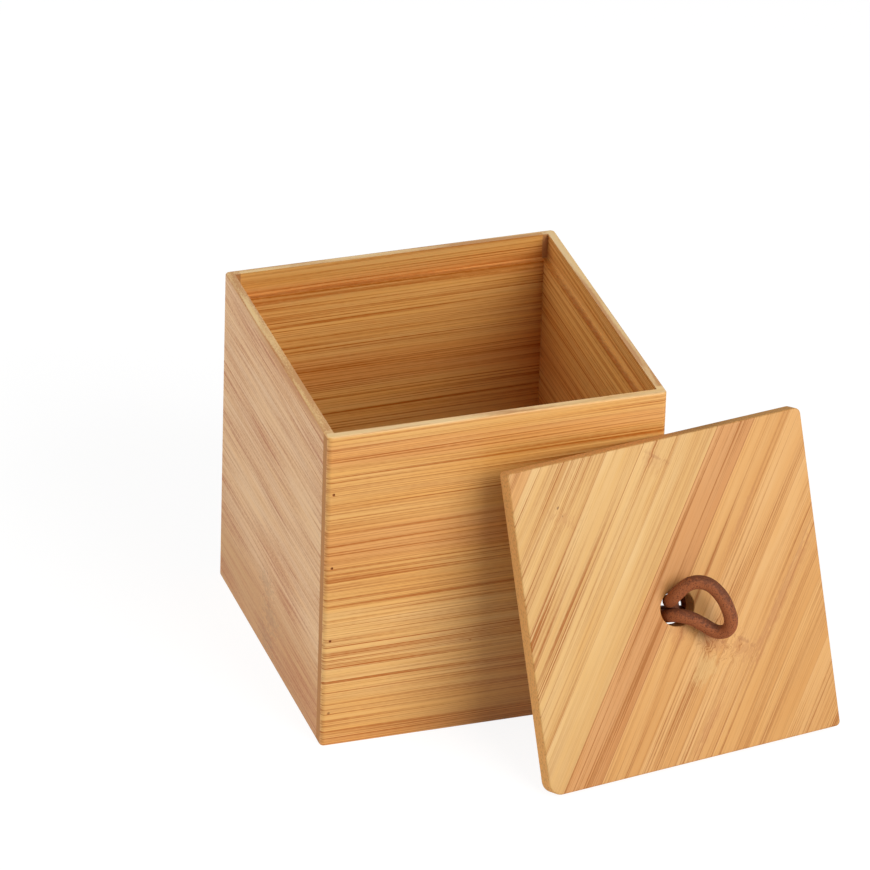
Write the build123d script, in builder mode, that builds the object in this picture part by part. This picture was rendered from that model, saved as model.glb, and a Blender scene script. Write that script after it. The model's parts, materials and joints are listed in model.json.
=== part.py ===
from build123d import *
import os
from math import cos, pi, radians, sin, tan

# A square bamboo box for brushes, with a loose lid that drops into a rebate inside the rim, and a
# leather cord loop through the lid to lift it by. The lid is off: it stands in front of the box
# and leans on the box's front right corner. The front board covers the ends of the side boards, and
# the side boards cover the ends of the back board.
#
# Millimetres and degrees. The origin is the middle of the box's underside. X runs right along the
# front board, Y from front to back, and Z up.

# ---- Box ----
box_width = 130.0
box_depth = 130.0
box_height = 131.0
wall_thickness = 5.4
rim_thickness = 3.2  # what the rebate leaves of each wall, from the rim down to the ledge
rebate_depth = 10.0  # from the rim down to the ledge that the lid rests on
base_thickness = 5.0
corner_rounding = 1.8  # the four standing corners
edge_softening = 0.8  # rim and foot, outside

# ---- Brads, driven through the front board into the ends of the side boards ----
brads_per_corner = 4
brad_diameter = 1.1
brad_length = 16.0
brad_sink = 0.3  # of the head below the board's face
top_brad_drop = 24.0  # from the rim to the top brad
bottom_brad_rise = 14.0  # from the foot to the bottom brad

# ---- Lid ----
lid_clearance = 1.1  # on each side, inside the rim
lid_thickness = 6.9
lower_left_radius = 5.0  # the lid's corners, seen from its face, are sanded unequally
lower_right_radius = 1.8
upper_right_radius = 2.6
upper_left_radius = 1.4
lid_edge_softening = 0.6
hole_diameter = 14.0
hole_across = 0.2  # from the lid's middle, to the right
hole_drop = 2.4  # from the lid's middle, towards its lower edge
hole_edge_softening = 0.3

# ---- How the lid leans ----
lid_lean = 69.35  # from the floor up to the lid
lid_turn = 9.05  # of the lid's lower edge from the front board, seen from above
lean_shift = 6.55  # along the lid, from its middle to where it leans on the corner
lean_gap = 0.2

# ---- Leather cord loop ----
cord_diameter = 5.2
# The route from the knot out through the hole, round the loop and back to the knot: across the
# lid, up its slope and out of its face, from the middle of the hole in that face.
loop_route = [
    (4.7, -5.6, -14.8),
    (3.3, -0.8, -10.2),
    (-0.6, 2.1, -5.2),
    (-2.6, 3.0, 0.2),
    (-2.2, 6.2, 4.7),
    (2.3, 10.3, 8.2),
    (8.0, 9.4, 11.2),
    (12.0, 3.9, 13.2),
    (13.8, -2.1, 14.0),
    (14.8, -7.1, 13.0),
    (13.9, -10.7, 10.0),
    (10.8, -10.8, 6.8),
    (7.2, -7.3, 5.2),
    (2.8, -3.9, 3.8),
    (-1.4, -2.3, 1.2),
    (-2.8, -2.7, -2.6),
    (-1.9, -3.6, -6.6),
    (-1.4, -4.2, -10.0),
    (-1.6, -4.9, -13.4),
]
bend_share = 0.45  # of the shorter run beside a bend, taken up by the bend

# ---- Stopper knot behind the lid, too long to pass through the hole ----
knot_length = 17.0
knot_squeeze = 0.8  # what two layers of cord lose in depth where they are pulled tight
knot_rounding = 2.3
knot_tilt = -24.0  # across the lid, clockwise seen from its face
knot_hang = 8.0  # of the knot's back below its front
knot_centre = (3.0, -5.8, -15.3)  # from the middle of the hole, as the route is

# ---- Worked out from the sizes above ----
half_width = box_width / 2
half_depth = box_depth / 2
inner_half_width = half_width - wall_thickness
inner_half_depth = half_depth - wall_thickness
rim_half_width = half_width - rim_thickness
rim_half_depth = half_depth - rim_thickness
rebate_width = wall_thickness - rim_thickness
rebate_middle_x = (inner_half_width + rim_half_width) / 2
rebate_middle_y = (inner_half_depth + rim_half_depth) / 2
wall_middle_x = half_width - wall_thickness / 2
wall_middle_y = half_depth - wall_thickness / 2
side_length = box_depth - wall_thickness
side_middle_y = wall_thickness / 2
side_rebate_length = rim_half_depth + inner_half_depth
side_rebate_middle_y = rebate_width / 2
ledge_height = box_height - rebate_depth
lid_width = 2 * (rim_half_width - lid_clearance)
lid_length = 2 * (rim_half_depth - lid_clearance)
knot_depth = 2 * cord_diameter - knot_squeeze
lid_corners = [
    (-lid_width / 2, 0, lower_left_radius),
    (lid_width / 2, 0, lower_right_radius),
    (lid_width / 2, lid_length, upper_right_radius),
    (-lid_width / 2, lid_length, upper_left_radius),
]

# The lid's own directions: along its lower edge, away from the box, and out of its face.
lean = radians(lid_lean)
turn = radians(lid_turn)
lid_along = Vector(cos(turn), sin(turn), 0)
away_from_box = Vector(sin(turn), -cos(turn), 0)
lid_out = away_from_box * sin(lean) + Vector(0, 0, cos(lean))

# Its underside stands on the floor at its lower edge, and touches the box's corner at its top
# edge, or at the rim where the rim is lower. Rounded edges bring both contacts a little nearer.
contact_height = min(lid_length * sin(lean), box_height)
edge_gain = lid_edge_softening * (sin(lean) + cos(lean) - 1)
foot_reach = contact_height / tan(lean) + corner_rounding + lean_gap - edge_gain
corner_axis = Vector(half_width - corner_rounding, corner_rounding - half_depth, -edge_gain)
lid_foot = corner_axis + away_from_box * foot_reach - lid_along * lean_shift
lid_underside = Plane(lid_foot, x_dir=lid_along, z_dir=lid_out)
hole_place = (hole_across, lid_length / 2 - hole_drop)
hole_middle = lid_underside.from_local_coords(Vector(*hole_place, lid_thickness))
hole_mouth = Plane(hole_middle, x_dir=lid_along, z_dir=lid_out)


def outside(edges):
    """Picks the edges that lie on the outside of the box."""
    reach_x = half_width - corner_rounding / 2
    reach_y = half_depth - corner_rounding / 2
    return [e for e in edges if abs(e.center().X) > reach_x or abs(e.center().Y) > reach_y]


def soften_rim_and_foot(board):
    """Rounds a board's top and bottom edges where they are on the outside of the box."""
    level = board.faces().filter_by(Axis.Z).sort_by(Axis.Z)
    fillet(outside(level[0].edges()) + outside(level[-1].edges()), radius=edge_softening)


def brad_row(side_x, start, length, mode):
    """Makes one corner's brads, or their holes: start is the depth below the front board's face."""
    spacing = (box_height - top_brad_drop - bottom_brad_rise) / (brads_per_corner - 1)
    heads = [
        Plane((side_x * wall_middle_x, start - half_depth, bottom_brad_rise + i * spacing), z_dir=(0, 1, 0))
        for i in range(brads_per_corner)
    ]
    from_head = (Align.CENTER, Align.CENTER, Align.MIN)
    with Locations(*heads):
        Cylinder(brad_diameter / 2, length, align=from_head, mode=mode)


def drill_brad_holes(side_x):
    """Drills one corner's brad holes in the board that is being built."""
    brad_row(side_x, 0, brad_sink + brad_length, Mode.SUBTRACT)


def side_board(side_x):
    """The left board (-1) or the right board (1), from the front board's back to the box's back."""
    with BuildPart() as board:
        with BuildSketch() as outline:
            with Locations((side_x * wall_middle_x, side_middle_y)):
                Rectangle(wall_thickness, side_length)
            back_corner = (side_x * half_width, half_depth)
            fillet(outline.vertices().sort_by_distance(back_corner)[0], radius=corner_rounding)
        extrude(amount=box_height)
        with BuildSketch(Plane.XY.offset(ledge_height)):
            with Locations((side_x * rebate_middle_x, side_rebate_middle_y)):
                Rectangle(rebate_width, side_rebate_length)
        extrude(amount=rebate_depth, mode=Mode.SUBTRACT)
        soften_rim_and_foot(board)
        drill_brad_holes(side_x)
    return board


def corner_brads(side_x):
    """The row of brads at one front corner of the box."""
    with BuildPart() as brads:
        brad_row(side_x, brad_sink, brad_length, Mode.ADD)
    return brads


def route_bends(points):
    """The radius of each bend between straight runs, from the shorter run beside it."""
    radii = []
    for before, corner, after in zip(points, points[1:], points[2:]):
        shorter_run = min((corner - before).length, (after - corner).length)
        bend = radians((corner - before).get_angle(after - corner))
        radii.append(bend_share * shorter_run / tan(bend / 2))
    return radii


with BuildPart() as front_wall:
    with BuildSketch() as front_outline:
        with Locations((0, -wall_middle_y)):
            Rectangle(box_width, wall_thickness)
        fillet(front_outline.vertices().group_by(Axis.Y)[0], radius=corner_rounding)
    extrude(amount=box_height)
    with BuildSketch(Plane.XY.offset(ledge_height)):
        with Locations((0, -rebate_middle_y)):
            Rectangle(2 * rim_half_width, rebate_width)
    extrude(amount=rebate_depth, mode=Mode.SUBTRACT)
    soften_rim_and_foot(front_wall)
    drill_brad_holes(-1)
    drill_brad_holes(1)

with BuildPart() as back_wall:
    with BuildSketch():
        with Locations((0, wall_middle_y)):
            Rectangle(2 * inner_half_width, wall_thickness)
    extrude(amount=box_height)
    with BuildSketch(Plane.XY.offset(ledge_height)):
        with Locations((0, rebate_middle_y)):
            Rectangle(2 * inner_half_width, rebate_width)
    extrude(amount=rebate_depth, mode=Mode.SUBTRACT)
    soften_rim_and_foot(back_wall)

left_wall = side_board(-1)
right_wall = side_board(1)

with BuildPart() as base_panel:
    with BuildSketch():
        Rectangle(2 * inner_half_width, 2 * inner_half_depth)
    extrude(amount=base_thickness)

brads_front_left = corner_brads(-1)
brads_front_right = corner_brads(1)

with BuildPart() as lid_panel:
    with BuildSketch(lid_underside) as lid_outline:
        with Locations((0, lid_length / 2)):
            Rectangle(lid_width, lid_length)
        for *corner, radius in lid_corners:
            fillet(lid_outline.vertices().sort_by_distance(corner)[0], radius=radius)
        with Locations(hole_place):
            Circle(hole_diameter / 2, mode=Mode.SUBTRACT)
    extrude(amount=lid_thickness)
    lid_faces = lid_panel.faces().sort_by(Axis(lid_foot, lid_out))
    broad_faces = [lid_faces[0], lid_faces[-1]]
    rim_edges = [edge for face in broad_faces for edge in face.outer_wire().edges()]
    hole_edges = [edge for face in broad_faces for edge in face.inner_wires()[0].edges()]
    fillet(rim_edges, radius=lid_edge_softening)
    fillet(hole_edges, radius=hole_edge_softening)

route_points = [hole_mouth.from_local_coords(Vector(*point)) for point in loop_route]
bend_radii = route_bends(route_points)
with BuildPart() as pull_loop:
    with BuildLine() as loop_line:
        FilletPolyline(*route_points, radius=bend_radii)
    with BuildSketch(loop_line.line ^ 0):
        Circle(cord_diameter / 2)
    sweep()

knot_middle = hole_mouth.from_local_coords(Vector(*knot_centre))
knot_plane = Plane(knot_middle, x_dir=lid_along, z_dir=lid_out).rotated((-knot_hang, 0, knot_tilt))
with BuildPart() as loop_knot:
    with BuildSketch(knot_plane.offset(-knot_depth / 2)):
        SlotOverall(knot_length, cord_diameter)
    extrude(amount=knot_depth)
    knot_faces = loop_knot.faces().sort_by(Axis(knot_middle, lid_out))
    fillet(knot_faces[0].edges() + knot_faces[-1].edges(), radius=knot_rounding)

pieces = {
    "front_wall": front_wall,
    "back_wall": back_wall,
    "left_wall": left_wall,
    "right_wall": right_wall,
    "base_panel": base_panel,
    "brads_front_left": brads_front_left,
    "brads_front_right": brads_front_right,
    "lid_panel": lid_panel,
    "pull_loop": pull_loop,
    "loop_knot": loop_knot,
}
os.makedirs("parts", exist_ok=True)
for name, piece in pieces.items():
    piece.part.label = name
    export_step(piece.part, f"parts/{name}.step")

loop_length = sum(edge.length for edge in loop_line.edges())
print("bend radii:", ", ".join(f"{radius:.1f}" for radius in bend_radii))
print(f"loop length {loop_length:.1f}, volume {pull_loop.part.volume:.1f}")
print(f"section times length {pi * cord_diameter**2 / 4 * loop_length:.1f}")
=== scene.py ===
"""Finishes and stages a square bamboo box, its loose lid and the leather loop that lifts the lid.

Lengths are in metres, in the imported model's frame: the origin is the middle of the box's
underside, X runs right along the front board, Y from front to back, and Z up. The wood's pattern
is laid out in millimetres in each board's own frame: along its grain, across it, and out of it.
"""

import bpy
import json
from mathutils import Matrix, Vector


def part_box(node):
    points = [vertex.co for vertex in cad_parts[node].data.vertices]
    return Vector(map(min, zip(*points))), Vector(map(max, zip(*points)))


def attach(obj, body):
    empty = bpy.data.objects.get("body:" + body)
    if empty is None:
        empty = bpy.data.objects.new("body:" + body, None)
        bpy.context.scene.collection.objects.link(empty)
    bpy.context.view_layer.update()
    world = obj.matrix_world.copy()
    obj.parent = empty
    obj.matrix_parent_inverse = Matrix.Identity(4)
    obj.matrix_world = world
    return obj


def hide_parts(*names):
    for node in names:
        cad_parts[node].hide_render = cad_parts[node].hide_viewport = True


bl_info = {
    "name": "Bamboo Box",
    "version": (1, 0, 0),
    "blender": (4, 5, 0),
    "location": "3D View > Sidebar > Bamboo Box",
    "description": "Finishes the boards, brads, lid and leather loop of a bamboo box",
    "category": "Object",
}

import json
from math import cos, pi, radians, sin

import bmesh
import bpy
from bpy.props import FloatProperty, FloatVectorProperty, PointerProperty
from mathutils import Matrix, Vector

MM = 0.001

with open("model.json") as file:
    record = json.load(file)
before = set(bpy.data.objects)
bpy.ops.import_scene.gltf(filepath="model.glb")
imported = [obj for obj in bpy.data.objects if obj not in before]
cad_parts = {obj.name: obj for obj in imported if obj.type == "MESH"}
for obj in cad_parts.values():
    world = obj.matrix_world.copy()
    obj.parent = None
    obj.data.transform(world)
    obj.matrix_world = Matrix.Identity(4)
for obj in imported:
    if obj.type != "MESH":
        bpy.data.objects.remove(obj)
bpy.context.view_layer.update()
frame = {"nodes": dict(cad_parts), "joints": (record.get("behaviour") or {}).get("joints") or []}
nodes = frame["nodes"]


def reach(node, direction):
    """How far a node reaches along a direction: its least and greatest distance from the origin."""
    distances = [vertex.co.dot(direction) for vertex in nodes[node].data.vertices]
    return min(distances), max(distances)


# ---- The box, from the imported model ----
front_low, front_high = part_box("front_wall")
left_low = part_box("left_wall")[0]
box_height = front_high.z
base_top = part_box("base_panel")[1].z

# ---- The lid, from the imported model: its loop turns about the axis of its hole ----
swivel = next(joint for joint in frame["joints"] if joint["name"] == "loop_swivel")
lid_out = Vector(swivel["axis"]).normalized()
lid_along = Vector((-lid_out.y, lid_out.x, 0)).normalized()
lid_up = lid_out.cross(lid_along)
along_span, up_span, out_span = (
    reach("lid_panel", direction) for direction in (lid_along, lid_up, lid_out)
)
lid_thickness = out_span[1] - out_span[0]
hole_middle = Vector(swivel["pos_m"]) + lid_out * lid_thickness / 2
lid_middle = lid_along * sum(along_span) / 2 + lid_up * sum(up_span) / 2 + lid_out * out_span[1]


def hole_point(across, up, out):
    """A point given in millimetres from the middle of the hole in the lid's outer face."""
    return hole_middle + (lid_along * across + lid_up * up + lid_out * out) * MM


# The route of the cord's middle, in millimetres from the hole's: from the knot out through the
# hole, round the loop and back.
loop_route = [
    (4.7, -5.6, -14.8),
    (3.3, -0.8, -10.2),
    (-0.6, 2.1, -5.2),
    (-2.6, 3.0, 0.2),
    (-2.2, 6.2, 4.7),
    (2.3, 10.3, 8.2),
    (8.0, 9.4, 11.2),
    (12.0, 3.9, 13.2),
    (13.8, -2.1, 14.0),
    (14.8, -7.1, 13.0),
    (13.9, -10.7, 10.0),
    (10.8, -10.8, 6.8),
    (7.2, -7.3, 5.2),
    (2.8, -3.9, 3.8),
    (-1.4, -2.3, 1.2),
    (-2.8, -2.7, -2.6),
    (-1.9, -3.6, -6.6),
    (-1.4, -4.2, -10.0),
    (-1.6, -4.9, -13.4),
]

# The knot behind the lid, in millimetres: the cord's two ends, turned back on themselves in one
# flat layer, with one of them coming out of the knot and up behind the hole.
knot_centre = (3.0, -4.6, -15.3)  # from the hole's middle, as the tail's route is
knot_length = 17.0
knot_depth = 9.6
knot_tilt = radians(-12.0)  # in the lid's plane
knot_hang = radians(8.0)  # out of the lid's plane
tail_route = [
    (10.6, -8.5, -15.6),
    (11.2, -3.0, -12.8),
    (8.6, 3.0, -11.0),
    (4.0, 6.0, -10.6),
    (0.0, 6.0, -10.6),
    (-3.4, 4.4, -10.8),
]
tail_diameter = 5.0


# ---- Colours ----
def linear(code):
    """A colour's linear values from its sRGB hex code, such as #D9A05F."""
    parts = [int(code[i : i + 2], 16) / 255 for i in (1, 3, 5)]
    return tuple(p / 12.92 if p <= 0.04045 else ((p + 0.055) / 1.055) ** 2.4 for p in parts)


def colour(name, code, description):
    """A colour that a user would change."""
    return FloatVectorProperty(
        name=name,
        description=description,
        subtype="COLOR",
        size=3,
        min=0,
        max=1,
        default=linear(code),
    )


def length(name, default, description):
    """A size that a user would change, in metres."""
    return FloatProperty(name=name, description=description, unit="LENGTH", min=0, default=default)


class BoxFinish(bpy.types.PropertyGroup):
    """The box's boards and brads."""

    pale: colour("Pale bamboo", "#E6B66F", "Lightest bands of the boards")
    golden: colour("Golden bamboo", "#E1AA5E", "Most of the boards")
    orange: colour("Orange bamboo", "#DD9F57", "Warmest bands of the boards")
    # Painted shade and reflection: the left board's foot and top edge in a darker, warmer tone.
    side: colour("Side boards", "#E3B67E", "The left board's upper part")
    painted_foot_and_top: colour("Side boards' foot", "#CC9449", "The left board's foot")
    rim: colour("Rim", "#F4CE92", "Upper and lower edges of the boards")
    fibre: colour("Fibre", "#B0620F", "Dark lines of fibre along the boards")
    end_grain: colour("End grain", "#B27B46", "Cut ends of the boards")
    node: colour("Node marks", "#94642F", "Marks left by the stem's nodes")
    fibre_pitch: length("Fibre pitch", 1.1 * MM, "Distance between the finer fibre lines")
    brad: colour("Brads", "#8E4A17", "Heads of the brads")
    filler: colour("Filled brad", "#BE8A50", "Wood filler over the lowest brads")


class LidFinish(bpy.types.PropertyGroup):
    """The lid's strips."""

    pale: colour("Pale strips", "#D3A969", "Lightest strips of the lid")
    golden: colour("Golden strips", "#D09D5C", "Most of the strips")
    warm: colour("Warm strips", "#CD9854", "Warmer strips")
    brown: colour("Brown strip", "#C58C4F", "The one darker strip beside the hole")
    fibre: colour("Fibre", "#A3621A", "Dark lines of fibre along the strips")
    end_grain: colour("Sawn edge", "#D39B57", "Sawn edges of the lid")
    node: colour("Node marks", "#B0713A", "Soft marks left by the stem's nodes")
    scar: colour("Node scars", "#955423", "Thin, jagged lines across the nodes")
    pore: colour("Pores", "#7A4A1E", "A few dark pores")
    strip_width: length("Strip width", 12.75 * MM, "Width of one glued strip")
    fibre_pitch: length("Fibre pitch", 1.3 * MM, "Distance between the finer fibre lines")


class LoopFinish(bpy.types.PropertyGroup):
    """The leather cord."""

    tan: colour("Tan leather", "#96532C", "The cord's own colour")
    # Painted shade as well as wear: this darker tone on the sides facing up and out partly stands
    # in for shade and sheen.
    worn_and_shaded: colour("Worn leather", "#693A21", "The cord's sides that face up and out")
    dark: colour("Creases", "#451F12", "Pores and creases")
    diameter: length("Diameter", 5.2 * MM, "Thickness of the cord")


class Stage(bpy.types.PropertyGroup):
    """Floor, lamps and camera."""

    floor: colour("Floor", "#FAFAFA", "The pale floor")
    floor_veil: FloatProperty(
        name="Floor veil",
        description="Share of plain white where the floor is looked at",
        subtype="FACTOR",
        min=0,
        max=1,
        default=0.8,
    )
    ambient: FloatProperty(
        name="Ambient", description="Strength of the light from all round", min=0, default=0.15
    )
    key_power: FloatProperty(
        name="Key lamp", description="Power of the key lamp", unit="POWER", min=0, default=23.0
    )
    key_size: length("Key size", 1.1, "Width and height of the key lamp")
    fill_power: FloatProperty(
        name="Fill lamp", description="Power of the fill lamp", unit="POWER", min=0, default=15.4
    )
    fill_size: length("Fill size", 1.2, "Width and height of the fill lamp")
    lens: FloatProperty(
        name="Lens", description="The camera's focal length", unit="CAMERA", default=335.065
    )


class BambooBox(bpy.types.PropertyGroup):
    """All that the panel shows."""

    box: PointerProperty(type=BoxFinish)
    lid: PointerProperty(type=LidFinish)
    loop: PointerProperty(type=LoopFinish)
    stage: PointerProperty(type=Stage)


# ---- Materials ----
# Nearly all values of a noise lie in this range, round this middle.
noise_range = (0.3, 0.7)
noise_middle = (0.5, 0.5, 0.5)

# How large the wood's patterns are, in millimetres along the grain, across it and into the board.
drift_size = (110, 6, 6)  # of the bends in the bands' borders
sway_size = (90, 25, 25)  # of the fibres' sway
ripple_size = (3.5, 5, 5)  # of the fibres' bends at a node
rag_size = (3.0, 0.9, 0.9)  # of the jags in a mark's outline
node_jags = 0.2  # how deep the jags are round the fibres that a node bends, as a share of its size

# How far apart the seeds of neighbouring strips and of the layers of fibre are.
strip_step = 7.31
layer_step = 1.7

# What the seeds of a board's other patterns add to the board's own.
drift_seed = 1
mark_seeds = 10
node_seeds = 40
ripple_seeds = 50

# Each of these is where something is still absent, and where it is full.
edge_facing = (0.5, 0.95)  # a board's edge, by how squarely a surface faces the edge's direction
rim_reach = (3.0, 2.0)  # the rim's tone, in millimetres inwards from a board's border
strip_sides = (0.05, 0.95)  # the tone of a strip's second side, as a share of the strip's width
glue_line = (0.035, 0.012)  # the glue line, as a share of the strip's width
dot_border = (0.15, 0.55)  # the wood round a fibre bundle's dot, as a share of the dot's cell


def add(tree, kind, inputs=(), stops=(), **settings):
    """Adds a node with its settings, its colour stops and its inputs, which go by name or in order.

    An input is a value, a socket to link, or a node, which gives its first output in use."""
    node = tree.nodes.new("ShaderNode" + kind)
    for name, value in settings.items():
        setattr(node, name, value)
    sockets = [socket for socket in node.inputs if socket.enabled]
    if not isinstance(inputs, dict):
        inputs = dict(enumerate(inputs))
    for key, value in inputs.items():
        socket = sockets[key] if isinstance(key, int) else next(s for s in sockets if s.name == key)
        if isinstance(value, bpy.types.Node):
            value = next(output for output in value.outputs if output.enabled)
        if isinstance(value, bpy.types.NodeSocket):
            tree.links.new(value, socket)
        elif socket.type == "RGBA":
            socket.default_value = (*value, 1)
        else:
            socket.default_value = value
    for place, (position, tone) in enumerate(stops):
        elements = node.color_ramp.elements
        element = elements[place] if place < 2 else elements.new(position)
        element.position = position
        element.color = (*tone, 1)
    return node


def new_material(name):
    """An empty node material and its tree."""
    material = bpy.data.materials.new(name)
    material.use_nodes = True
    material.node_tree.nodes.clear()
    return material, material.node_tree


def streaks(tree, place, size, seed, detail=0.0):
    """Noise drawn out along the grain, as wood fibre is: size is a streak's length and widths."""
    per_unit = [1 / extent for extent in size]
    stretched = add(tree, "VectorMath", (place, per_unit), operation="MULTIPLY")
    inputs = {"Vector": stretched, "W": seed, "Scale": 1.0, "Detail": detail, "Roughness": 0.6}
    return add(tree, "TexNoise", inputs, noise_dimensions="4D")


def mark(tree, place, centre, half_size, seed, ragged):
    """How much of a mark is at a place: 1 in its middle, 0 from its ragged outline on."""
    offset = add(tree, "VectorMath", (place, centre), operation="SUBTRACT")
    per_unit = [1 / extent for extent in half_size]
    offset = add(tree, "VectorMath", (offset, per_unit), operation="MULTIPLY")
    distance = add(tree, "VectorMath", (offset,), operation="LENGTH")
    rag = streaks(tree, place, rag_size, seed, 2.0)
    rag = add(tree, "MapRange", (rag, *noise_range, -ragged, ragged), clamp=False)
    distance = add(tree, "Math", (distance, rag), operation="ADD")
    return add(tree, "MapRange", (distance, 1.0, 0.3), interpolation_type="SMOOTHSTEP")


def bamboo(name, along, across, middle, seed, look):
    """Laminated bamboo, planed, sanded and oiled: a satin surface, with the stem's fibre bundles
    showing as fine dark lines along the grain and as dots where they are cut across.

    A look holds these, with sizes in millimetres:
    bands        where each starts across the grain, its tone, how bold its fibres are, and how
                 dark the glue line at its start is
    edges        how the bands' tones meet
    strip        width of a glued strip
    drift, sway  how far the bands' borders and the fibres wander
    slant        angle of the fibres to the grain's direction
    fibres       layers of streaks: length, width and weight
    depth        how dark these layers are on average, from 0 to 1
    sharp        power that thins out the lighter fibres
    fibre        tone of the fibres
    cloud, hues  size and two tints of the patches between the fibres
    density      tints of a strip's first and second side
    edge_normal  direction that the edges face
    edge_depth   how much darker the fibres are on the edges
    rim          tone of the edges along the board's borders
    nodes        where a node bends the fibres: centre, half size, and how far
    marks        what nodes and pores leave, and painted shade along inner corners: centre,
             half size, strength, jags and tone
    cut_normal   direction by which the cut ends are told
    cut          how squarely they face it where the cut begins, and where it is full
    end_grain    tone of the cut ends
    dots         brightness in a dot and round it, on the cut ends
    dot_size     size of a dot's cell
    roughness    of the wood and of the fibres"""
    material, tree = new_material(name)
    turn = Matrix((along, across, along.cross(across)))
    surface = add(tree, "TexCoord")
    inputs = {
        "Vector": surface.outputs["Object"],
        "Location": turn @ middle / -MM,
        "Rotation": turn.to_euler(),
        "Scale": (1 / MM, 1 / MM, 1 / MM),
    }
    board = add(tree, "Mapping", inputs)
    level = add(tree, "SeparateXYZ", (board,)).outputs["Y"]

    # Bands or strips across the grain.
    starts = [band[0] for band in look["bands"]]
    low, high = starts[0], starts[-1]
    places = [(start - low) / (high - low) for start in starts]
    tones = [(place, band[1]) for place, band in zip(places, look["bands"])]
    kinds = [(place, (*band[2:], 0)) for place, band in zip(places, look["bands"])]
    drift = streaks(tree, board, drift_size, seed + drift_seed)
    inputs = (drift, *noise_range, -look["drift"], look["drift"])
    drift = add(tree, "MapRange", inputs, clamp=False)
    position = add(tree, "Math", (level, drift), operation="ADD")
    position = add(tree, "MapRange", (position, low, high))
    shade = add(tree, "ValToRGB", (position,), tones)
    kind = add(tree, "ValToRGB", (position,), kinds)
    shade.color_ramp.interpolation = kind.color_ramp.interpolation = look["edges"]
    kind = add(tree, "SeparateColor", (kind,))
    bold, glue = kind.outputs[0], kind.outputs[1]

    # Each glued strip has fibres of its own. A box board is a single strip.
    strip = add(tree, "Math", (level, low), operation="SUBTRACT")
    strip = add(tree, "Math", (strip, look["strip"]), operation="DIVIDE")
    index = add(tree, "Math", (strip,), operation="FLOOR")
    within = add(tree, "Math", (strip, index), operation="SUBTRACT")
    life = add(tree, "Math", (index, strip_step, seed), operation="MULTIPLY_ADD")

    # The fibres sway a little across the grain, and more around a node.
    sway = streaks(tree, board, sway_size, life, 1.0).outputs["Color"]
    sway = add(tree, "VectorMath", (sway, noise_middle), operation="SUBTRACT")
    inputs = (sway, (0, look["sway"], look["sway"]), board)
    fibre = add(tree, "VectorMath", inputs, operation="MULTIPLY_ADD")
    for i, (centre, half_size, bend) in enumerate(look["nodes"]):
        near = mark(tree, board, centre, half_size, seed + node_seeds + i, node_jags)
        ripple = streaks(tree, board, ripple_size, seed + ripple_seeds + i, 1.0).outputs["Color"]
        ripple = add(tree, "VectorMath", (ripple, noise_middle), operation="SUBTRACT")
        ripple = add(tree, "VectorMath", (ripple, (0, bend, bend)), operation="MULTIPLY")
        near = add(tree, "CombineXYZ", (near, near, near))
        fibre = add(tree, "VectorMath", (ripple, near, fibre), operation="MULTIPLY_ADD")
    slant = add(tree, "Mapping", {"Vector": fibre, "Rotation": (0, 0, look["slant"])})

    # How dark the fibre is at each place: layers of streaks, from hair lines to soft bands. They
    # run deeper into a board than they are wide, so a rounded edge doesn't cut them into specks.
    depth = -sum(weight for run, width, weight in look["fibres"]) / 2
    for i, (run, width, weight) in enumerate(look["fibres"]):
        number = add(tree, "Math", (life, i * layer_step), operation="ADD")
        layer = streaks(tree, slant, (run, width, min(5 * width, run / 3)), number)
        depth = add(tree, "Math", (layer, weight, depth), operation="MULTIPLY_ADD")

    # The edges show the fibres a little more boldly, but never at their darkest.
    facing = (surface.outputs["Normal"], look["edge_normal"])
    edge = add(tree, "VectorMath", facing, operation="DOT_PRODUCT")
    edge = add(tree, "Math", (edge,), operation="ABSOLUTE")
    edge = add(tree, "MapRange", (edge, *edge_facing))
    bold = add(tree, "Math", (edge, 0.2, bold), operation="MULTIPLY_ADD")
    darkest = add(tree, "Math", (edge, -0.4, 1.05), operation="MULTIPLY_ADD")
    depth = add(tree, "Math", (depth, bold, look["depth"]), operation="MULTIPLY_ADD")
    depth = add(tree, "Math", (edge, look["edge_depth"], depth), operation="MULTIPLY_ADD")
    depth = add(tree, "Math", (depth, 0.0), operation="MAXIMUM")
    depth = add(tree, "Math", (depth, look["sharp"]), operation="POWER")
    depth = add(tree, "Math", (depth, darkest), operation="MINIMUM")

    # The rim has a tone of its own.
    rim_start, rim_full = (high - reach_in for reach_in in rim_reach)
    border = add(tree, "Math", (level,), operation="ABSOLUTE")
    border = add(tree, "MapRange", (border, rim_start, rim_full))
    border = add(tree, "Math", (border, edge), operation="MULTIPLY")
    shade = add(tree, "Mix", (border, shade, look["rim"]), data_type="RGBA")

    # The wood between the fibres is warmer in some places than in others.
    warm = streaks(tree, slant, look["cloud"], life, 4.0)
    warm = add(tree, "MapRange", (warm, *noise_range))
    warm = add(tree, "Mix", (warm, *look["hues"]), data_type="RGBA")
    shade = add(tree, "Mix", (1.0, shade, warm), data_type="RGBA", blend_type="MULTIPLY")

    # A strip is denser and darker towards the side that was the stem's outside.
    denser = add(tree, "MapRange", (within, *strip_sides))
    denser = add(tree, "Mix", (denser, *look["density"]), data_type="RGBA")
    shade = add(tree, "Mix", (1.0, shade, denser), data_type="RGBA", blend_type="MULTIPLY")
    shade = add(tree, "Mix", (depth, shade, look["fibre"]), data_type="RGBA", clamp_factor=False)

    # A brown glue line at some of the strips' borders.
    thin = add(tree, "MapRange", (within, *glue_line), interpolation_type="SMOOTHSTEP")
    thin = add(tree, "Math", (thin, glue), operation="MULTIPLY")
    shade = add(tree, "Mix", (thin, shade, look["fibre"]), data_type="RGBA")

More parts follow.
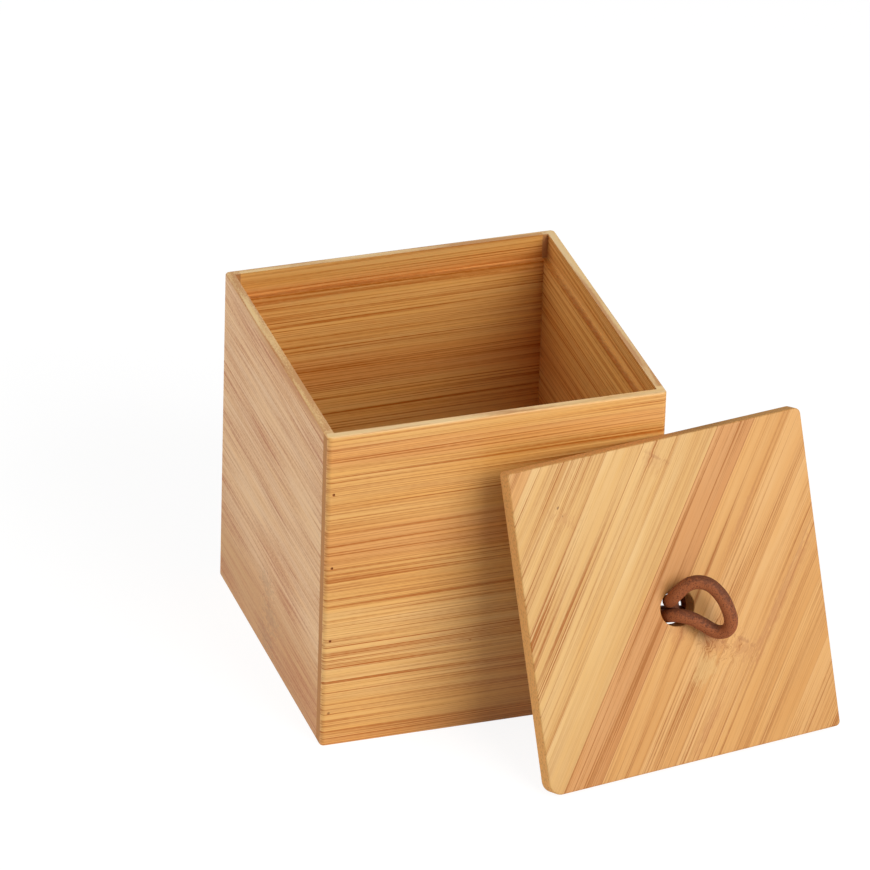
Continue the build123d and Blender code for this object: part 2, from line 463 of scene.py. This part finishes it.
    # Marks that the stem's nodes and a few pores leave, and painted shade along inner corners.
    for i, (centre, half_size, strength, ragged, tone) in enumerate(look["marks"]):
        amount = mark(tree, board, centre, half_size, seed + mark_seeds + i, ragged)
        amount = add(tree, "Math", (amount, strength), operation="MULTIPLY")
        shade = add(tree, "Mix", (amount, shade, tone), data_type="RGBA")

    # Where the fibres are cut across: darker and rougher, with their bundles as dots.
    facing = (surface.outputs["Normal"], look["cut_normal"])
    cut = add(tree, "VectorMath", facing, operation="DOT_PRODUCT")
    cut = add(tree, "Math", (cut,), operation="ABSOLUTE")
    cut = add(tree, "MapRange", (cut, *look["cut"]), interpolation_type="SMOOTHSTEP")
    per_millimetre = [1 / size for size in look["dot_size"]]
    cells = add(tree, "VectorMath", (board, per_millimetre), operation="MULTIPLY")
    dots = add(tree, "TexVoronoi", {"Vector": cells, "Scale": 1.0})
    inputs = (dots, *dot_border, *look["dots"])
    dots = add(tree, "MapRange", inputs, interpolation_type="SMOOTHSTEP")
    dots = add(tree, "CombineXYZ", (dots, dots, dots))
    ends = add(tree, "Mix", (1.0, look["end_grain"], dots), data_type="RGBA", blend_type="MULTIPLY")
    shade = add(tree, "Mix", (cut, shade, ends), data_type="RGBA")

    bump = add(tree, "Bump", {"Strength": 0.2, "Distance": 0.05 * MM, "Height": depth}, invert=True)
    rough = add(tree, "MapRange", (depth, 0.0, 1.0, *look["roughness"]))
    rough = add(tree, "Mix", (cut, rough, 0.9), data_type="FLOAT")
    inputs = {"Base Color": shade, "Roughness": rough, "IOR": 1.5, "Normal": bump}
    shader = add(tree, "BsdfPrincipled", inputs)
    add(tree, "OutputMaterial", {"Surface": shader})
    return material


def steel_brad(name, head, filler, filled_below):
    """Headless steel brads, punched under the surface and dulled by glue and oil: dark dots, and
    the lowest one filled with a paste of wood dust, lighter than the rest."""
    material, tree = new_material(name)
    place = add(tree, "TexCoord").outputs["Object"]
    height = add(tree, "SeparateXYZ", (place,)).outputs["Z"]
    filled = add(tree, "MapRange", (height, filled_below + MM, filled_below))
    # Grit in the glue is finer than this: drawn at 0.4 mm, or it wouldn't show.
    grit_size = 0.4 * MM
    grit = streaks(tree, place, (grit_size, grit_size, grit_size), 3.0, 2.0)
    grit = add(tree, "MapRange", (grit, 0.35, 0.65, 0.0, 0.2))
    shade = add(tree, "Mix", (filled, head, filler), data_type="RGBA")
    shade = add(tree, "Mix", (grit, shade, linear("#1E140D")), data_type="RGBA")
    bare_steel = add(tree, "MapRange", (filled, 0.0, 1.0, 0.1, 0.0))
    inputs = {"Base Color": shade, "Metallic": bare_steel, "Roughness": 0.8}
    shader = add(tree, "BsdfPrincipled", inputs)
    add(tree, "OutputMaterial", {"Surface": shader})
    return material


def leather(name, tan, worn_and_shaded, dark, diameter):
    """Round leather cord, dyed through, rolled and handled: matt tan, with fine pores and a mottled
    bloom.
    The sides that face up and out are darker: partly wear from handling, partly painted shade and
    sheen."""
    material, tree = new_material(name)
    surface = add(tree, "TexCoord")
    place = surface.outputs["Object"]
    # Pores are about 0.2 mm on real cord: drawn at 0.5 mm, or they wouldn't show.
    pore_size, mottle_size = 0.5 * MM, 1.2 * MM
    pores = streaks(tree, place, (pore_size, pore_size, pore_size), 1.0, 3.0)
    mottle = streaks(tree, place, (mottle_size, mottle_size, mottle_size), 2.0, 3.0)
    # Painted shade as well as wear: surfaces facing this way take the darker tone, broken up by the
    # mottle.
    darker_side = (lid_up * 0.75 + lid_along * 0.35 + lid_out * 0.35).normalized()
    facing = add(tree, "VectorMath", (surface.outputs["Normal"], darker_side), operation="DOT_PRODUCT")
    patchy = add(tree, "MapRange", (mottle, *noise_range, -0.45, 0.45), clamp=False)
    rubbed_and_shaded = add(tree, "Math", (facing, patchy), operation="ADD")
    rubbed_and_shaded = add(tree, "MapRange", (rubbed_and_shaded, 0.1, 0.9), interpolation_type="SMOOTHSTEP")
    shade = add(tree, "Mix", (rubbed_and_shaded, tan, worn_and_shaded), data_type="RGBA")
    pits = add(tree, "MapRange", (pores, 0.52, 0.34, 0.0, 0.7), interpolation_type="SMOOTHSTEP")
    shade = add(tree, "Mix", (pits, shade, dark), data_type="RGBA")
    height = add(tree, "Math", (mottle, 0.6, pores.outputs["Fac"]), operation="MULTIPLY_ADD")
    bump = add(tree, "Bump", {"Strength": 0.7, "Distance": 0.05 * diameter, "Height": height})
    rough = add(tree, "MapRange", (pores, *noise_range, 0.75, 0.6))
    inputs = {"Base Color": shade, "Roughness": rough, "IOR": 1.45, "Normal": bump}
    inputs["Specular IOR Level"] = 0.3
    shader = add(tree, "BsdfPrincipled", inputs)
    add(tree, "OutputMaterial", {"Surface": shader})
    return material


def looked_at(tree):
    """1 for a ray that looks at a surface, directly, in a gloss or through glass, and else 0."""
    path = add(tree, "LightPath")
    direct, glossy = path.outputs["Is Camera Ray"], path.outputs["Is Glossy Ray"]
    seen = add(tree, "Math", (direct, glossy), operation="MAXIMUM")
    return add(tree, "Math", (seen, path.outputs["Is Transmission Ray"]), operation="MAXIMUM")


def white_paper(name, tone, veil):
    """Matt white paper under soft light: it takes the object's shadow, and is close to plain white
    wherever it is looked at, directly or in a gloss."""
    material, tree = new_material(name)
    share = add(tree, "Math", (looked_at(tree), veil), operation="MULTIPLY")
    paper = add(tree, "BsdfDiffuse", {"Color": tone})
    # A little over 1, so that it comes to plain white together with the paper's own share.
    plain = add(tree, "Emission", {"Color": (1, 1, 1), "Strength": 1.12})
    both = add(tree, "MixShader", (share, paper, plain))
    add(tree, "OutputMaterial", {"Surface": both})
    return material


def wear(node, material):
    """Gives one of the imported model's pieces a finish."""
    slots = nodes[node].data.materials
    if not slots:
        slots.append(material)
    for i in range(len(slots)):
        slots[i] = material


def settings():
    """What the panel shows."""
    return bpy.context.scene.bamboo_box


def board_look(finish, bands, along, across, **own):
    """A box board's look: its bands of tone, what all the boards share, and what is its own."""
    pitch = finish.fibre_pitch / MM
    look = {
        "bands": [(*band, 1.0, 0.0) for band in bands],
        "edges": "EASE",
        "strip": 1000.0,  # wider than a board, which is a single strip
        "drift": 2.0,
        "sway": 1.2,
        "slant": radians(-0.6),
        # Single fibres are about 0.2 mm wide: drawn at about 0.4 mm, or they wouldn't show.
        "fibres": [
            (2.5, 0.4 * pitch, 0.3),
            (110, 0.38 * pitch, 2.0),
            (120, 0.85 * pitch, 0.75),
            (130, 2.3 * pitch, 0.3),
            (90, 7 * pitch, 0.28),
        ],
        "depth": 0.48,
        "sharp": 1.6,
        "cloud": (60, 3.5, 3.5),
        "hues": ((0.99, 1.035, 1.14), (1.01, 0.955, 0.8)),
        "density": ((1, 1, 1), (1, 1, 1)),
        "edge_depth": -0.08,
        "rim": finish.rim,
        "fibre": finish.fibre,
        "edge_normal": across,
        "end_grain": finish.end_grain,
        "nodes": [],
        "marks": [],
        "dots": (0.95, 1.03),
        "roughness": (0.42, 0.5),
        "cut_normal": along,
        "cut": (0.96, 0.995),
        "dot_size": (1.5, 0.9, 0.9),
    }
    look.update(own)
    return look


class BAMBOO_OT_boards(bpy.types.Operator):
    """Finishes the box's four boards and its base"""

    bl_idname = "bamboo_box.boards"
    bl_label = "Boards"

    def execute(self, context):
        finish = settings().box
        pale, golden, orange = finish.pale, finish.golden, finish.orange
        side, painted_foot_and_top, fibre, node = finish.side, finish.painted_foot_and_top, finish.fibre, finish.node
        along_x, along_y, up = Vector((1, 0, 0)), Vector((0, 1, 0)), Vector((0, 0, 1))
        # Bands and marks are placed in millimetres from a board's middle: bands from the bottom to
        # the rim, and marks by how far they are from one end of the board and from its rim.
        half_width = front_high.x / MM
        half = box_height / MM / 2
        front_bands = [
            (-half, orange),
            (-58, golden),
            (-30, pale),
            (-12, pale),
            (-4, golden),
            (8, golden),
            (14, orange),
            (22, orange),
            (28, golden),
            (50, golden),
            (53, orange),
            (58, orange),
            (62, golden),
            (half, golden),
        ]
        right_bands = front_bands[:10] + [(half, golden)]
        # Painted shade and reflection: the left board is darker and warmer at its foot, where the
        # white reflection fades towards the floor, and along its top edge, for a warm reflected
        # light.
        side_bands = [
            (-half, painted_foot_and_top),
            (-48, painted_foot_and_top),
            (-22, side),
            (30, side),
            (half - 3, side),
            (half, painted_foot_and_top),
        ]
        base_bands = [(-60, golden), (-20, pale), (15, orange), (60, golden)]
        pin_knot = [((57 - half_width, half - 94, 0), (0.9, 0.5, 30), 0.85, 0.3, fibre)]
        node_at = (half_width - 64, half - 110, 0)
        blotches = [
            ((half_width - 60, half - 101, 0), (9, 6, 30), 0.3, 0.8, node),
            ((half_width - 66, half - 113, 0), (12, 6, 30), 0.32, 0.8, node),
            ((half_width - 61, half - 124, 0), (10, 6, 30), 0.3, 0.8, node),
        ]
        # Painted shade: dark lines along the inner corner under the step that the lid rests on, on
        # a board's inner side.
        ledge_shade, back_ledge_shade = (
            [
                ((0, half - 10.4, inner), (300, 0.75, 1.7), 1.0, 0.15, fibre),
                ((0, half - 12.4, inner), (200, 0.55, 1.7), 0.7, 0.3, fibre),
            ]
            for inner in (-4.8, 4.8)
        )
        # The left board's fibres are broader and softer than the others'.
        soft_fibres = [
            (1.2, 0.4, 0.6),
            (35, 0.45, 1.0),
            (40, 1.0, 0.9),
            (45, 2.6, 0.4),
            (50, 6, 0.4),
            (60, 14, 0.7),
        ]
        front_middle = Vector((0, front_low.y, box_height / 2))
        back_middle = -front_middle + up * box_height
        left_middle = Vector((left_low.x, 0, box_height / 2))
        right_middle = -left_middle + up * box_height
        base_middle = Vector((0, 0, base_top))
        left_own = {
            "marks": blotches + back_ledge_shade,
            "nodes": [(node_at, (15, 20, 30), 9.0)],
            "sway": 2.5,
            "fibres": soft_fibres,
        }
        front_own, back_own = {"marks": pin_knot + ledge_shade}, {"marks": back_ledge_shade}
        right_own = {"marks": ledge_shade}
        # Piece, name, directions along and across its grain, middle, seed, bands, and its own.
        boards = [
            ("front_wall", "front board", along_x, up, front_middle, 3.1, front_bands, front_own),
            ("back_wall", "back board", along_x, up, back_middle, 7.4, front_bands, back_own),
            ("left_wall", "left board", along_y, up, left_middle, 12.8, side_bands, left_own),
            ("right_wall", "right board", along_y, up, right_middle, 17.2, right_bands, right_own),
            ("base_panel", "base", along_x, along_y, base_middle, 21.6, base_bands, {}),
        ]
        for piece, name, along, across, middle, seed, bands, own in boards:
            look = board_look(finish, bands, along, across, **own)
            wear(piece, bamboo(f"Laminated bamboo, {name}", along, across, middle, seed, look))
        return {"FINISHED"}


class BAMBOO_OT_brads(bpy.types.Operator):
    """Finishes the brads at the front board's two ends"""

    bl_idname = "bamboo_box.brads"
    bl_label = "Brads"

    def execute(self, context):
        finish = settings().box
        filled_below = 20 * MM  # only the lowest brad of each row is under this height
        name = "Steel brads, punched in"
        material = steel_brad(name, finish.brad, finish.filler, filled_below)
        for corner in ("front_left", "front_right"):
            wear(f"brads_{corner}", material)
        return {"FINISHED"}


class BAMBOO_OT_lid(bpy.types.Operator):
    """Finishes the lid, which is glued from strips that run across it aslant"""

    bl_idname = "bamboo_box.lid"
    bl_label = "Lid"

    def execute(self, context):
        finish = settings().lid
        slant = radians(56)  # of the strips to the lid's lower edge
        along = lid_along * cos(slant) + lid_up * sin(slant)
        across = lid_out.cross(along) * -1
        width = finish.strip_width / MM
        pitch = finish.fibre_pitch / MM
        pale, golden, warm, brown = finish.pale, finish.golden, finish.warm, finish.brown
        node, scar, pore = finish.node, finish.scar, finish.pore
        # Each strip's tone, how bold its fibres are, and how dark the glue line at its start is.
        strips = [
            (pale, 0.62, 0.0),
            (golden, 0.6, 0.3),
            (pale, 0.6, 0.4),
            (pale, 0.6, 0.4),
            (pale, 0.7, 0.8),
            (pale, 0.65, 0.2),
            (pale, 0.4, 0.8),
            (brown, 0.9, 0.9),
            (warm, 0.62, 0.1),
            (golden, 0.68, 0.5),
            (golden, 0.68, 0.5),
            (warm, 0.68, 0.4),
            (warm, 0.62, 0.4),
            (golden, 0.7, 0.3),
            (warm, 0.7, 0.3),
        ]
        brown_start = -12.3  # of the brown strip, which passes just beside the hole
        first = brown_start - 7 * width
        look = {
            "bands": [(first + i * width, *strip) for i, strip in enumerate(strips)],
            "edges": "CONSTANT",
            "strip": width,
            "drift": 0.0,
            "sway": 1.6,
            "slant": radians(0.4),
            # Single fibres are about 0.2 mm wide: drawn at about 0.4 mm, or they wouldn't show.
            "fibres": [
                (2.0, 0.35 * pitch, 0.3),
                (80, 0.3 * pitch, 2.4),
                (90, 0.85 * pitch, 1.2),
                (80, 2.2 * pitch, 2.0),
                (60, 4.5 * pitch, 1.0),
            ],
            "depth": 0.4,
            "sharp": 2.1,
            "cloud": (38, 3.4, 3.4),
            "hues": ((1.03, 1.06, 1.13), (0.98, 0.91, 0.75)),
            "density": ((1.05, 1.07, 1.13), (0.96, 0.9, 0.8)),
            "edge_depth": 0.15,
            "rim": pale,
            "fibre": finish.fibre,
            "edge_normal": along,
            "end_grain": finish.end_grain,
            "nodes": [
                ((-7, 22, 0), (9, 19, 30), 12.0),
                ((10, -56, 0), (7, 6, 30), 2.0),
                ((43, -31, 0), (8, 7, 30), 2.0),
            ],
            "marks": [
                ((-9.5, 6, 0), (6, 5, 30), 0.35, 0.6, node),
                ((-8, 20, 0), (3.5, 7, 30), 0.35, 0.9, node),
                ((-5, 33, 0), (4.5, 6, 30), 0.35, 0.9, node),
                ((-6.5, 19, 0), (0.8, 8, 30), 0.45, 0.8, scar),
                ((-2.5, 31, 0), (1.0, 7, 30), 0.35, 0.8, scar),
                ((-18, 22, 0), (8, 6, 30), 0.6, 0.4, pale),
                ((43, -31, 0), (5, 6, 30), 0.2, 0.8, node),
                ((45, -31, 0), (0.8, 6, 30), 0.3, 0.8, scar),
                ((3, -9, 0), (3, 2.5, 30), 0.3, 0.7, node),
                ((10, -56, 0), (2.5, 6, 30), 0.25, 0.9, node),
                ((18, 40, 0), (34, 2.6, 30), 0.5, 0.5, node),
                ((-36, 33, 0), (18, 2.2, 30), 0.4, 0.5, node),
                ((38, 12, 0), (20, 1.8, 30), 0.35, 0.5, node),
                ((13, -60, 0), (0.9, 0.6, 30), 0.9, 0.3, pore),
                ((11, -57, 0), (0.6, 0.45, 30), 0.6, 0.3, pore),
            ],
            "dots": (0.8, 1.07),
            "roughness": (0.52, 0.6),
            "cut_normal": lid_out,
            "cut": (0.65, 0.35),
            "dot_size": (1.6, 0.8, 0.8),
        }
        lid = bamboo("Laminated bamboo, lid", along, across, lid_middle, seed=31.5, look=look)
        wear("lid_panel", lid)
        return {"FINISHED"}


class BAMBOO_OT_loop(bpy.types.Operator):
    """Makes the leather loop through the lid, and the knot behind it"""

    bl_idname = "bamboo_box.loop"
    bl_label = "Loop and knot"

    def execute(self, context):
        finish = settings().loop
        name = "Round leather cord, rubbed"
        material = leather(name, finish.tan, finish.worn_and_shaded, finish.dark, finish.diameter)
        knot = make_knot(finish.diameter)
        loop = make_cord("leather_loop", loop_route, finish.diameter)
        tail = make_cord("leather_tail", tail_route, tail_diameter * MM)
        for piece in (loop, knot, tail):
            piece.data.materials.append(material)
            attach(piece, "pull")
        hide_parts("pull_loop")
        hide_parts("loop_knot")
        return {"FINISHED"}


def make_cord(name, route, diameter):
    """A stretch of the cord, as one smooth curve along its route."""
    curve = bpy.data.curves.new(name, "CURVE")
    curve.dimensions = "3D"
    spline = curve.splines.new("NURBS")
    spline.points.add(len(route) - 1)
    for point, place in zip(spline.points, route):
        point.co = (*hole_point(*place), 1)
    spline.order_u = 3
    spline.use_endpoint_u = True
    spline.resolution_u = 12
    curve.bevel_depth = diameter / 2
    curve.bevel_resolution = 8
    curve.use_fill_caps = True
    cord = bpy.data.objects.new(name, curve)
    bpy.context.collection.objects.link(cord)
    return cord


def make_knot(diameter):
    """The knot's flat turn: a round of cord, longer than wide, that lies in a plane of its own."""
    tilted = Matrix.Rotation(knot_tilt, 3, lid_out) @ Matrix.Rotation(-knot_hang, 3, lid_along)
    sideways, upwards, outwards = (tilted @ axis for axis in (lid_along, lid_up, lid_out))
    centre = hole_point(*knot_centre)
    squeezed = 0.98  # share of the cord's thickness that is left where the knot pulls it tight
    radius = diameter / 2 * squeezed
    bend = knot_depth * MM / 2 - radius
    straight = knot_length * MM / 2 - radius - bend
    around, along = 20, 64  # points round the cord and along it
    quickness = 2.2  # with which the round passes from one bend to the other
    mesh = bmesh.new()
    rings = []
    for i in range(along):
        angle = 2 * pi * i / along
        reach_out = Vector((cos(angle), 0, sin(angle)))
        shift = straight * max(-1, min(1, quickness * cos(angle)))
        middle = Vector((shift + bend * reach_out.x, 0, bend * reach_out.z))
        ring = []
        for j in range(around):
            turn = 2 * pi * j / around
            local = middle + (reach_out * cos(turn) + Vector((0, 1, 0)) * sin(turn)) * radius
            place = centre + sideways * local.x + upwards * local.y + outwards * local.z
            ring.append(mesh.verts.new(place))
        rings.append(ring)
    for ring, following in zip(rings, rings[1:] + rings[:1]):
        for j in range(around):
            k = (j + 1) % around
            mesh.faces.new((ring[j], ring[k], following[k], following[j]))
    bmesh.ops.recalc_face_normals(mesh, faces=mesh.faces)
    data = bpy.data.meshes.new("leather_knot")
    mesh.to_mesh(data)
    mesh.free()
    for face in data.polygons:
        face.use_smooth = True
    knot = bpy.data.objects.new("leather_knot", data)
    bpy.context.collection.objects.link(knot)
    return knot


class BAMBOO_OT_stage(bpy.types.Operator):
    """Sets the floor, the lamps, the camera and the view"""

    bl_idname = "bamboo_box.stage"
    bl_label = "Stage"

    def execute(self, context):
        stage = settings().stage
        make_camera(context.scene, stage.lens)
        make_floor(stage.floor, stage.floor_veil)
        key, fill = (stage.key_power, stage.key_size), (stage.fill_power, stage.fill_size)
        make_lamp("key_lamp", *key, bearing=27, elevation=31, distance=1.6)
        make_lamp("fill_lamp", *fill, bearing=-105, elevation=28, distance=1.8)
        light_world(context.scene, stage.ambient)
        context.scene.view_settings.view_transform = "Standard"
        return {"FINISHED"}


def make_camera(scene, lens):
    """The camera looks down and to the right, and leans a little. Angles are in degrees."""
    place = (-0.85172, -2.47439, 1.58077)
    heading, dip, lean = -18.9526, 29.7226, 1.8809
    data = bpy.data.cameras.new("camera")
    data.lens = lens
    data.sensor_width = 36
    data.clip_end = 20
    camera = bpy.data.objects.new("camera", data)
    scene.collection.objects.link(camera)
    turned = Matrix.Rotation(radians(heading), 4, "Z")
    dipped = Matrix.Rotation(radians(90 - dip), 4, "X")
    leaned = Matrix.Rotation(radians(lean), 4, "Z")
    camera.matrix_world = Matrix.Translation(place) @ (turned @ dipped) @ leaned
    scene.camera = camera


def make_floor(tone, veil):
    """A wide paper floor under the box."""
    half = 3.0
    corners = [(-half, -half, 0), (half, -half, 0), (half, half, 0), (-half, half, 0)]
    data = bpy.data.meshes.new("floor")
    data.from_pydata(corners, [], [(0, 1, 2, 3)])
    data.materials.append(white_paper("White paper floor", tone, veil))
    floor = bpy.data.objects.new("floor", data)
    bpy.context.collection.objects.link(floor)


def make_lamp(name, power, size, bearing, elevation, distance):
    """A square soft lamp aimed at the box. Its bearing is in degrees from the front to the right,
    and its elevation in degrees over the floor."""
    lamp = bpy.data.lights.new(name, "AREA")
    lamp.energy = power
    lamp.size = size
    bearing, elevation = radians(bearing), radians(elevation)
    away = Vector((sin(bearing) * cos(elevation), -cos(bearing) * cos(elevation), sin(elevation)))
    holder = bpy.data.objects.new(name, lamp)
    holder.location = Vector((0, 0, box_height / 2)) + away * distance
    holder.rotation_euler = away.to_track_quat("Z", "Y").to_euler()
    bpy.context.collection.objects.link(holder)


def light_world(scene, ambient):
    """Even white light from all round, and a plain white background where it is looked at."""
    world = bpy.data.worlds.new("world")
    world.use_nodes = True
    tree = world.node_tree
    tree.nodes.clear()
    strength = add(tree, "MapRange", (looked_at(tree), 0.0, 1.0, ambient, 1.0))
    background = add(tree, "Background", {"Color": (1, 1, 1), "Strength": strength})
    add(tree, "OutputWorld", {"Surface": background})
    scene.world = world


class BAMBOO_PT_panel(bpy.types.Panel):
    """Lists the box's pieces, finishes and stage"""

    bl_idname = "BAMBOO_PT_panel"
    bl_label = "Bamboo Box"
    bl_space_type = "VIEW_3D"
    bl_region_type = "UI"
    bl_category = "Bamboo Box"

    def draw(self, context):
        for group in (settings().box, settings().lid, settings().loop, settings().stage):
            part = self.layout.box()
            for name in group.bl_rna.properties.keys():
                if name not in ("rna_type", "name"):
                    part.prop(group, name)
        for operator in operators:
            self.layout.operator(operator.bl_idname)


operators = (BAMBOO_OT_stage, BAMBOO_OT_loop, BAMBOO_OT_boards, BAMBOO_OT_brads, BAMBOO_OT_lid)
classes = (BoxFinish, LidFinish, LoopFinish, Stage, BambooBox, *operators, BAMBOO_PT_panel)


def register():
    for item in classes:
        bpy.utils.register_class(item)
    bpy.types.Scene.bamboo_box = PointerProperty(type=BambooBox)


def unregister():
    del bpy.types.Scene.bamboo_box
    for item in reversed(classes):
        bpy.utils.unregister_class(item)


def main():
    """Makes everything in order."""
    register()
    bpy.ops.bamboo_box.stage()
    bpy.ops.bamboo_box.loop()
    bpy.ops.bamboo_box.boards()
    bpy.ops.bamboo_box.brads()
    bpy.ops.bamboo_box.lid()


if __name__ == "__main__":
    main()
